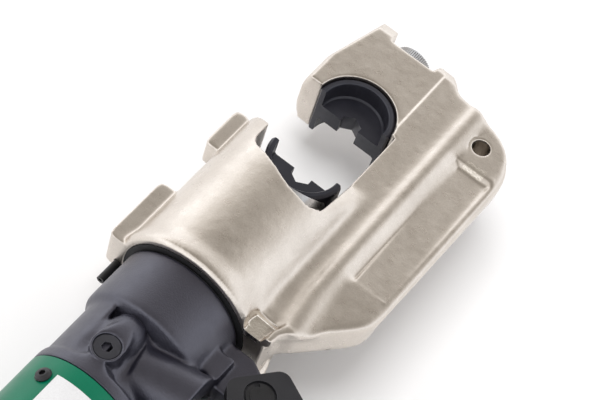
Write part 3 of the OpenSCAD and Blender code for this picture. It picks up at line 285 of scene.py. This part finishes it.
def new_piece(name, mesh_data, node, made):
    """A visible piece that stands for a node and rides on its body."""
    piece = bpy.data.objects.new(name, mesh_data)
    scene.collection.objects.link(piece)
    piece.data.materials.clear()
    piece.data.materials.append(made)
    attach(piece, BODIES[node])
    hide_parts(node)
    return piece


def with_modifiers(piece):
    """The mesh that a piece has once its modifiers are applied."""
    bpy.context.view_layer.update()
    seen = piece.evaluated_get(bpy.context.evaluated_depsgraph_get())
    return bpy.data.meshes.new_from_object(seen)


def smooth(mesh_data, passes, strength):
    """Moves vertices towards their neighbours' mean; strength is one number per vertex."""
    count = len(mesh_data.vertices)
    co = np.zeros(count * 3)
    mesh_data.vertices.foreach_get("co", co)
    co = co.reshape(-1, 3)
    ends = np.zeros(len(mesh_data.edges) * 2, np.int64)
    mesh_data.edges.foreach_get("vertices", ends)
    a, b = ends.reshape(-1, 2).T
    degree = np.bincount(a, minlength=count) + np.bincount(b, minlength=count)
    share = strength(co)[:, None] * SMOOTH_STEP
    for _ in range(passes):
        mean = np.stack([np.bincount(a, co[b, k], count) + np.bincount(b, co[a, k], count)
                         for k in range(3)], 1) / degree[:, None]
        co = co + share * (mean - co)
    mesh_data.vertices.foreach_set("co", co.ravel())
    mesh_data.update()


def forged(node, made, voxel, passes, strength, shape=None, extra=None):
    """Replaces a node by a copy whose edges are softened as on a forging or a casting.

    extra, if there is one, adds to the solid, and shape moves the vertices before the softening.
    """
    mesh = clean_copy(node)
    if extra:
        extra(mesh)
    rough = bpy.data.meshes.new(node + "_rough")
    mesh.to_mesh(rough)
    mesh.free()
    draft = bpy.data.objects.new(node + "_draft", rough)
    scene.collection.objects.link(draft)
    remesh = draft.modifiers.new("remesh", "REMESH")
    remesh.mode = "VOXEL"
    remesh.voxel_size = voxel
    data = with_modifiers(draft)
    bpy.data.objects.remove(draft)
    if shape:
        co = np.zeros(len(data.vertices) * 3)
        data.vertices.foreach_get("co", co)
        data.vertices.foreach_set("co", shape(co.reshape(-1, 3)).ravel())
    smooth(data, passes, strength)
    data.shade_smooth()
    return new_piece(node + "_forged", data, node, made)


def eased(node, made, width):
    """Replaces a node by a copy whose sharp edges are bevelled."""
    mesh = clean_copy(node)
    bmesh.ops.dissolve_limit(mesh, angle_limit=FLAT_ANGLE, verts=mesh.verts, edges=mesh.edges)
    data = bpy.data.meshes.new(node + "_sharp")
    mesh.to_mesh(data)
    mesh.free()
    draft = bpy.data.objects.new(node + "_draft", data)
    scene.collection.objects.link(draft)
    bevel = draft.modifiers.new("bevel", "BEVEL")
    bevel.width = width
    bevel.segments = BEVEL_SEGMENTS
    bevel.limit_method = "ANGLE"
    bevel.angle_limit = SHARP_ANGLE
    bevel.harden_normals = True
    data.shade_smooth()
    data.set_sharp_from_angle(angle=SHARP_ANGLE)
    final = with_modifiers(draft)
    bpy.data.objects.remove(draft)
    return new_piece(node + "_eased", final, node, made)


def step(value, start, end):
    """Smooth step from 0 at start to 1 at end, on arrays."""
    t = np.clip((value - start) / (end - start), 0, 1)
    return t * t * (3 - 2 * t)


def within(value, ends):
    return (value > ends[0]) & (value < ends[1])


def band(value, ends):
    """Rises from 0 to 1 over the first two ends and falls again over the last two."""
    return step(value, *ends[:2]) * (1 - step(value, *ends[2:]))


def spread_of(voxel, passes):
    """How wide, in metres, an edge becomes after that many passes at full strength."""
    return voxel * math.sqrt(passes / 4)


def as_strength(wide, full):
    """Strength, from 0 to 1, that makes edges as wide as asked, where 1 makes them full wide."""
    return np.clip(wide / full, 0, 1) ** 2


# Finish of every node that keeps its solid
for node, thing in nodes.items():
    thing.data.materials.clear()
    thing.data.materials.append(FINISHES[SLOTS[node]])
nodes["handle_clevis"].data.materials[0] = clevis_paint
nodes["die_release_button"].data.materials[0] = aluminium


# The forged head: places that its forms follow
_, die_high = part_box("upper_die")
HEAD_VOXEL, HEAD_PASSES = 0.7 * MM, 90
HEAD_SPREAD = spread_of(HEAD_VOXEL, HEAD_PASSES)
REAR_RIM_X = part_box("c_head")[0].x
RIM_FADE = mm(1.5, 5.0)
SEAT_R = die_high.x + 0.3 * MM
SEAT_BAND = 2.5 * MM
JAW_FACE_Z = die_high.z - 0.5 * MM
STEP_Y = -22.4 * MM
STEP_BAND = 1.6 * MM
JAW_X, JAW_Y = -4 * MM, STEP_Y - 3 * MM
MOUTH_X, MOUTH_Y = -78 * MM, STEP_Y - 4 * MM
FLANK_Y, FLANK_EDGE_Y = mm(30.5, 31.1)
FLANK_BEND_X = die_high.x
FLANK_TURN = math.radians(13.4)
TIP_X = 52.5 * MM
LUG_Y = 37.5 * MM
NOSE_X, NOSE_Y = mm(-25, -62)
HANG_AT = next(m["pos_m"] for m in frame["record"]["mounts"] if m["name"] == "hang_hole")
HANG_CLEAR, HANG_EDGE_R = mm(6.5, 10), 8 * MM
BEAD_Y = mm(75.5, 80)
BARREL_R = 41 * MM
BARREL_SIDE_Y, BARREL_SIDE_X = mm(-44, -28), mm(-136, -120)
SPINE_TOP_Z = 20.5 * MM
VALLEY_X, VALLEY_Y = mm(-128, -28), (-42 * MM, STEP_Y - 5 * MM)
RIB_Y, RIB_CREST_Y, RIB_SOFT_Y = mm(36, 41, 56, 64), mm(-60, -44), mm(-60, -42)
RIB_SHIFT, RIB_DEPTH, RIB_SOFT_DEPTH = mm(2.8, 4, 1.5)
RIB_FOOT_Y = -39.8 * MM
RIB_SHARE, RIB_SLOPE = 1.5, 0.8
PANEL_X, PANEL_Y, PANEL_LEAST_Z = mm(-84.5, 12), mm(-77, -57), 15 * MM
PANEL_SHARES = (0.08, 1.0)
CREASE_Y = mm(-80, -75)
FACET_X, FACET_Y, FACET_LEAST_Z = mm(11.5, 18), mm(-74, -62), 17 * MM
FACET_EDGE_X, FACET_EDGE_Y = mm(8.5, 17), mm(-80, -57)
POCKET_X, POCKET_Y, POCKET_Z = -131.5 * MM, mm(-43.5, -34.5), 18 * MM
POCKET_FACE_Z, POCKET_EDGE, POCKET_EDGE_Z = mm(14, 18.6), 2 * MM, 12 * MM
SIDE_Y, SIDE_FADE, SIDE_X = -84.5 * MM, mm(-14, -6), mm(-100, -84, 15, 38)
SIDE_PUSH, SIDE_CROWN, SIDE_DRAW = mm(1, 4, 12)
TAIL_AT, TAIL_OUT = np.array(mm(-95.7, -80.0)), np.array((-0.662, -0.75))
TAIL_FADE, TAIL_EDGE, TAIL_X = mm(-22, -2), mm(-7, -3), mm(-138, -124, -98, -84)
TAIL_PUSH, TAIL_DRAW = mm(5, 16)

# Widths of the head's soft edges, in millimetres: wide where forged, narrow where machined
HEAD_SOFT_MM = {
    "forged": 1.5, "outer": 1.2, "crease": 0.9, "valley": 3.0, "rib": 2.5, "nose": 2.2,
    "facet": 0.5, "mouth": 0.8, "jaw": 0.66, "flank": 1.5, "tip": 0.9, "lugs": 0.85, "seat": 0.22,
    "step": 0.42, "hang": 0.32, "rim": 0.42, "pocket": 0.9}


def past_tail(co):
    """How far each vertex lies outside the tail's slanted wall."""
    return (co[:, :2] - TAIL_AT) @ TAIL_OUT


def head_shape(co):
    """Forged forms of the spine: a clear rib, a panel that runs out, an open pocket, drafts."""
    x, y, z = co.T
    high = np.abs(z)
    rib = within(y, RIB_CREST_Y) & (high > SPINE_TOP_Z)
    high = np.where(rib, SPINE_TOP_Z + (high - SPINE_TOP_Z) * RIB_SHARE, high)
    # the barrel's flank, cut back to a valley beside the rib
    flank = within(y, BARREL_SIDE_Y) & (high > SPINE_TOP_Z)
    round_z = np.sqrt(np.maximum(BARREL_R ** 2 - y ** 2, SPINE_TOP_Z ** 2))
    bare = np.minimum(high, np.maximum(round_z, SPINE_TOP_Z + (RIB_FOOT_Y - y) * RIB_SLOPE))
    high = np.where(flank, high + (bare - high) * step(x, *BARREL_SIDE_X), high)
    panel = within(x, PANEL_X) & within(y, PANEL_Y) & within(high, (PANEL_LEAST_Z, SPINE_TOP_Z))
    depth = np.interp(x, PANEL_X, PANEL_SHARES)
    high = np.where(panel, SPINE_TOP_Z - (SPINE_TOP_Z - high) * depth, high)
    high[(x < POCKET_X) & within(y, POCKET_Y) & (high > POCKET_Z)] = POCKET_Z
    shaped = np.column_stack((x, y, np.copysign(high, z)))
    # the rib moves outwards, except beside the hanging hole
    clear = step(np.hypot(x - HANG_AT[0], y - HANG_AT[1]), *HANG_CLEAR)
    shaped[:, 1] -= RIB_SHIFT * band(-y, RIB_Y) * clear * (high > SPINE_TOP_Z - RIB_DEPTH)
    # the outer walls stand nearly upright above the parting line and draw in below it
    up, down = np.clip(z / SPINE_TOP_Z, 0, 1), np.clip(-z / SPINE_TOP_Z, 0, 1)
    side = step(SIDE_Y - y, *SIDE_FADE) * band(x, SIDE_X)
    shaped[:, 1] -= side * (SIDE_PUSH + SIDE_CROWN * up ** 2 - SIDE_DRAW * down)
    tail = step(past_tail(co), *TAIL_FADE) * band(x, TAIL_X)
    shaped[:, :2] += (tail * (TAIL_PUSH - TAIL_DRAW * down))[:, None] * TAIL_OUT
    return shaped


def head_softness(co):
    """How far each vertex of the head follows the smoothing, from 0 to 1."""
    x, y, z = co.T
    high = np.abs(z)
    soft = {name: width * MM for name, width in HEAD_SOFT_MM.items()}
    outer = np.maximum(step(-y, *BEAD_Y), step(past_tail(co), *TAIL_EDGE))
    wide = soft["forged"] + outer * soft["outer"]
    jaw = (x > JAW_X) & (y > JAW_Y)
    bent_y = FLANK_Y + (y - FLANK_Y) * math.cos(FLANK_TURN) \
        + (x - FLANK_BEND_X) * math.sin(FLANK_TURN)
    # a later zone overrides an earlier one
    zones = {
        "crease": within(y, CREASE_Y) & within(x, PANEL_X) & (high > PANEL_LEAST_Z),
        "valley": within(x, VALLEY_X) & within(y, VALLEY_Y) & (high > JAW_FACE_Z),
        "rib": within(y, RIB_SOFT_Y) & (high > SPINE_TOP_Z - RIB_SOFT_DEPTH),
        "nose": (x > NOSE_X) & (y > NOSE_Y),
        "facet": within(x, FACET_EDGE_X) & within(y, FACET_EDGE_Y) & (high > PANEL_LEAST_Z),
        "mouth": (x > MOUTH_X) & (y > MOUTH_Y) & ~jaw,
        "jaw": jaw,
        "flank": jaw & (np.maximum(y, bent_y) > FLANK_EDGE_Y),
        "tip": jaw & (x > TIP_X),
        "lugs": (y > LUG_Y) & (x < 0),
        "seat": jaw & (np.abs(np.hypot(x, y) - SEAT_R) < SEAT_BAND),
        "step": jaw & (np.abs(y - STEP_Y) < STEP_BAND) & (high > JAW_FACE_Z),
        "hang": np.hypot(x - HANG_AT[0], y - HANG_AT[1]) < HANG_EDGE_R}
    for name, zone in zones.items():
        wide[zone] = soft[name]
    wide = np.minimum(wide, soft["rim"] + step(x - REAR_RIM_X, *RIM_FADE) * HEAD_SPREAD)
    pocket = (x < POCKET_X + POCKET_EDGE) & (y < POCKET_Y[1] + POCKET_EDGE)
    wide[pocket & (high > POCKET_EDGE_Z)] = soft["pocket"]
    return as_strength(wide, HEAD_SPREAD)


def milled(centre):
    """Faces of the head's two bright cuts: the rear pocket and the upper end of the panel."""
    x, y, z = centre.T
    high = np.abs(z)
    pocket = (x < POCKET_X) & within(y, POCKET_Y) & within(high, POCKET_FACE_Z)
    end = within(x, FACET_X) & within(y, FACET_Y) & within(high, (FACET_LEAST_Z, SPINE_TOP_Z))
    return pocket | end


head = forged("c_head", nickel, HEAD_VOXEL, HEAD_PASSES, head_softness, head_shape)
head.data.materials.append(polished)
centres = np.zeros(len(head.data.polygons) * 3)
head.data.polygons.foreach_get("center", centres)
head.data.polygons.foreach_set("material_index", milled(centres.reshape(-1, 3)).astype(np.int32))


# The pump body is a casting: a slim valve boss on its rib, and wide fillets round the waist
BODY_VOXEL, BODY_PASSES = 0.7 * MM, 40
BODY_SPREAD = spread_of(BODY_VOXEL, BODY_PASSES)
BODY_FRONT_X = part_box("pump_body")[1].x
plug_low, plug_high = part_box("valve_plugs")
VALVE = (plug_low + plug_high) / 2
PLUG_R = (plug_high.x - plug_low.x) / 2
PLUG_GAP, PLUG_WALL, PLUG_EDGE = mm(0.1, 0.9, 0.5)
BOSS_R, BOSS_SLIM_R, BOSS_RING = mm(11, 8.3, 1.5)
BOSS_RISE_Z, BOSS_TOP_Z, BOSS_EDGE = mm(20, 27), 24 * MM, 1 * MM
VALVE_RIB_L, VALVE_RIB_REACH, VALVE_RIB_SLIM_R = mm(21, 6.5, 10.5)
REACH_FADE, SLIM_FADE = mm(5, 14), mm(2, 10)
LUG_SIDE_Y = -38 * MM
FRONT_FADE, REAR_FADE, REAR_FROM_VALVE = mm(2, 7), mm(0.5, 5), 17 * MM
CAST_SOFT, LUG_SOFT, BOSS_SOFT, BORE_SOFT, END_SOFT = mm(1.7, 1.0, 0.45, 0.25, 0.4)
WAIST_R, WEB_R = mm(31.3, 20)
WEB_X, WEB_ANGLES = (VALVE.x - 9.5 * MM, VALVE.x + 10.5 * MM), (57, 84)
WEB_STEPS = 6


def valve_webs(mesh):
    """Joins the valve bosses to the round side of the waist, above and below."""
    angles = [math.radians(WEB_ANGLES[0] + (WEB_ANGLES[1] - WEB_ANGLES[0]) * k / WEB_STEPS)
              for k in range(WEB_STEPS + 1)]
    outline = [(WAIST_R, a) for a in angles] + [(WEB_R, a) for a in reversed(angles)]
    for side in (1, -1):
        rings = [[mesh.verts.new((x, r * math.cos(a), side * r * math.sin(a))) for r, a in outline]
                 for x in WEB_X]
        mesh.faces.new(rings[0])
        mesh.faces.new(rings[1])
        for k in range(len(outline)):
            mesh.faces.new((rings[0][k - 1], rings[0][k], rings[1][k], rings[1][k - 1]))
    bmesh.ops.recalc_face_normals(mesh, faces=mesh.faces)


def body_shape(co):
    """Slims the valve bosses and their ribs towards their tops, and lengthens the ribs."""
    shaped = co.copy()
    x, y, z = co.T
    raised = step(np.abs(z), *BOSS_RISE_Z)
    away = np.hypot(x - VALVE.x, y - VALVE.y)
    beside = np.abs(y - VALVE.y)
    outside = away > PLUG_R + PLUG_GAP
    slim = (BOSS_SLIM_R - PLUG_R) / (BOSS_R - PLUG_R)
    ring = outside & (away < BOSS_R + BOSS_RING) & (x < VALVE.x)
    drawn = (PLUG_R + (away - PLUG_R) * (1 + (slim - 1) * raised)) / np.maximum(away, PLUG_R)
    for k, middle in enumerate(VALVE.xy):
        shaped[ring, k] = (middle + (co[:, k] - middle) * drawn)[ring]
    rib = within(x - VALVE.x, (0, VALVE_RIB_L)) & (beside < BOSS_R + BOSS_EDGE) & outside
    shaped[rib, 0] += (VALVE_RIB_REACH * raised * step(x - VALVE.x, *REACH_FADE))[rib]
    slim_r = BOSS_SLIM_R + (VALVE_RIB_SLIM_R - BOSS_SLIM_R) * step(x - VALVE.x, *SLIM_FADE)
    share = 1 + (slim_r / BOSS_R - 1) * raised
    kept = np.sqrt(np.maximum(PLUG_R ** 2 - (x - VALVE.x) ** 2, 0))
    slimmed = np.maximum(beside * share, np.minimum(beside, kept + PLUG_WALL))
    shaped[rib, 1] = (VALVE.y + np.copysign(slimmed, y - VALVE.y))[rib]
    return shaped


def body_softness(co):
    """How far each vertex of the pump body follows the smoothing, from 0 to 1."""
    x, y, z = co.T
    wide = np.full(len(co), CAST_SOFT)
    wide[y < LUG_SIDE_Y] = LUG_SOFT
    away = np.hypot(x - VALVE.x, y - VALVE.y)
    wide[(away < BOSS_SLIM_R + BOSS_EDGE) & (np.abs(z) > BOSS_TOP_Z)] = BOSS_SOFT
    wide[away < PLUG_R + PLUG_EDGE] = BORE_SOFT
    front = END_SOFT + step(BODY_FRONT_X - x, *FRONT_FADE) * BODY_SPREAD
    rear = END_SOFT + step(x - VALVE.x + REAR_FROM_VALVE, *REAR_FADE) * BODY_SPREAD
    return as_strength(np.minimum(np.minimum(wide, front), rear), BODY_SPREAD)


forged("pump_body", paint, BODY_VOXEL, BODY_PASSES, body_softness, body_shape, valve_webs)


# Machined pieces with eased edges
DIE_EASE, CLEVIS_EASE, PLUG_EASE = mm(0.25, 1.2, 0.5)
for node in ("upper_die", "lower_die"):
    eased(node, oxide, DIE_EASE)
eased("handle_clevis", clevis_paint, CLEVIS_EASE)
eased("valve_plugs", plug_black, PLUG_EASE)


def sprung(node):
    """Replaces a spring by a copy with a mesh of its own, which rides on the spring's body."""
    piece = new_piece(node + "_sprung", nodes[node].data.copy(), node, FINISHES[SLOTS[node]])
    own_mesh(piece)


sprung("return_spring")
sprung("button_spring")
sprung("release_spring")


# Camera at the photograph's place: its centre, and its right and view axes in the part's frame
CAMERA_AT = Vector(mm(-596.4, -195.9, 851.2))
IMAGE_RIGHT = Vector((0.5851, -0.7860, 0.1996)).normalized()
VIEW = Vector((0.5293, 0.1837, -0.8283)).normalized()
IMAGE_UP = IMAGE_RIGHT.cross(VIEW).normalized()
FOCAL_PX = 1979.1
IMAGE_W_PX = 600
SENSOR_MM = 36
NEAREST = 10 * MM

camera = bpy.data.objects.new("camera", bpy.data.cameras.new("camera"))
scene.collection.objects.link(camera)
camera.data.sensor_width = SENSOR_MM
camera.data.lens = FOCAL_PX * SENSOR_MM / IMAGE_W_PX
camera.data.clip_start = NEAREST
turn = Matrix((IMAGE_RIGHT, IMAGE_UP, -VIEW)).transposed()
camera.matrix_world = Matrix.Translation(CAMERA_AT) @ turn.to_4x4()
scene.camera = camera

# Pale floor under the tool
floor_mesh = bpy.data.meshes.new("floor")
FLOOR_HALF = 4.0
FLOOR_COLOUR, FLOOR_ROUGHNESS = (0.86, 0.86, 0.87), 0.7
floor_z = cad_box[0].z
floor_mesh.from_pydata([(x * FLOOR_HALF, y * FLOOR_HALF, floor_z)
                        for x, y in ((-1, -1), (1, -1), (1, 1), (-1, 1))], [], [(0, 1, 2, 3)])
floor = bpy.data.objects.new("floor", floor_mesh)
scene.collection.objects.link(floor)
floor_paint, floor_shader = new_material("pale_floor")
floor_shader.inputs["Base Color"].default_value = (*FLOOR_COLOUR, 1)
floor_shader.inputs["Roughness"].default_value = FLOOR_ROUGHNESS
floor_mesh.materials.append(floor_paint)


# Soft studio light: a sky that darkens towards the zenith, and a sheet of light overhead
LOW_SKY, HIGH_SKY = 1.55, 0.38
LOW_SKY_SIN, HIGH_SKY_SIN = 0.36, 0.87
LOW_TINT, HIGH_TINT = (0.985, 1.0, 1.03), (1.05, 0.985, 0.9)
SKY_TILT = math.radians(6)
SKY_ASIDE, ASIDE_ENDS = (0.82, 1.12), (-0.8, 0.8)
SHEET_SIZE, SHEET_POWER = 1.1, 26.0
SHEET_AT = Vector((0, 0.25, 2.0))

world = bpy.data.worlds.new("studio")
world.use_nodes = True
background = world.node_tree.nodes["Background"]
height = world.node_tree.nodes.new("ShaderNodeVectorMath")
height.operation = "DOT_PRODUCT"
height.inputs[1].default_value = (0, math.sin(SKY_TILT), math.cos(SKY_TILT))
axes = world.node_tree.nodes.new("ShaderNodeSeparateXYZ")
toward = add(world, "ShaderNodeTexCoord").outputs["Generated"]
for node in (height, axes):
    join(world, toward, node.inputs[0])
risen = height.outputs["Value"]
by_height = spread(world, risen, LOW_SKY, HIGH_SKY, LOW_SKY_SIN, HIGH_SKY_SIN)
toward_zenith = spread(world, risen, 0, 1, LOW_SKY_SIN, HIGH_SKY_SIN)
tint = blend_colours(world, toward_zenith, LOW_TINT, HIGH_TINT)
join(world, tint, background.inputs["Color"])
aside = spread(world, axes.outputs["Y"], *SKY_ASIDE, *ASIDE_ENDS)
join(world, multiply(world, by_height, aside), background.inputs["Strength"])
scene.world = world
scene.view_settings.view_transform = "Standard"

light = bpy.data.lights.new("sheet", "AREA")
light.shape = "SQUARE"
light.size = SHEET_SIZE
light.energy = SHEET_POWER
lamp = bpy.data.objects.new("sheet", light)
scene.collection.objects.link(lamp)
lamp.location = SHEET_AT
lamp.rotation_euler = SHEET_AT.to_track_quat("Z", "Y").to_euler()
lamp.visible_glossy = False
